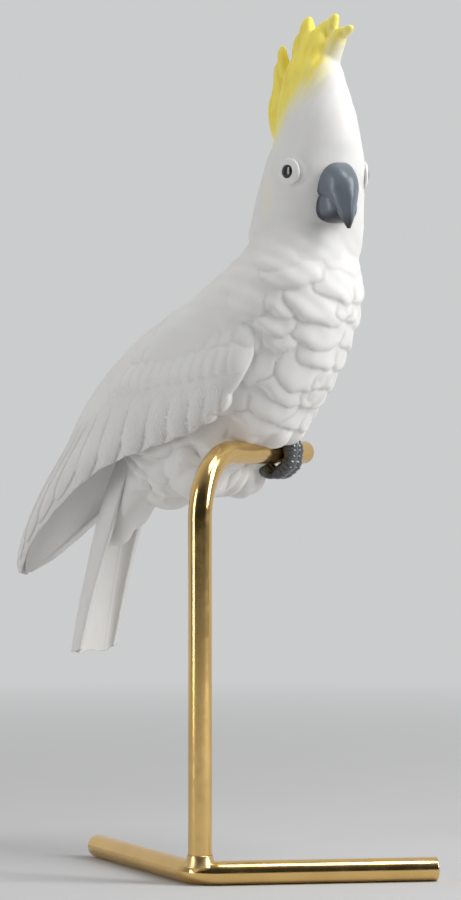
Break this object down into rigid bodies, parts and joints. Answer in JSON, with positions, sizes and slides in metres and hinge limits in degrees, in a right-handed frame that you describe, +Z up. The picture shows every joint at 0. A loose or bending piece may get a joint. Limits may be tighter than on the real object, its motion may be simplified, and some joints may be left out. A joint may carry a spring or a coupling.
{
  "type": "parrot figurine",
  "caption": "White porcelain cockatoo with a raised crest, perched on a bent rod that stands on a V-shaped foot of the same rod.",
  "frame": {"origin": "on the supporting surface, under the post's axis, where the base rod bends", "axes": "+Z up along the post, +X along the perch towards its free end, the bird faces -Y"},
  "size_m": [0.1043, 0.2068, 0.3669],
  "materials": {
    "white_bisque": "unglazed white bisque porcelain, satin, with a lemon yellow crest and a grey glazed beak",
    "polished_brass": "polished and lacquered brass",
    "soldered_brass": "brazed joint, lightly dressed"
  },
  "bodies": {
    "root": {"base_rod": "polished_brass", "perch_rod": "polished_brass", "solder_fillet": "soldered_brass", "cockatoo": "white_bisque"}
  },
  "joints": []
}
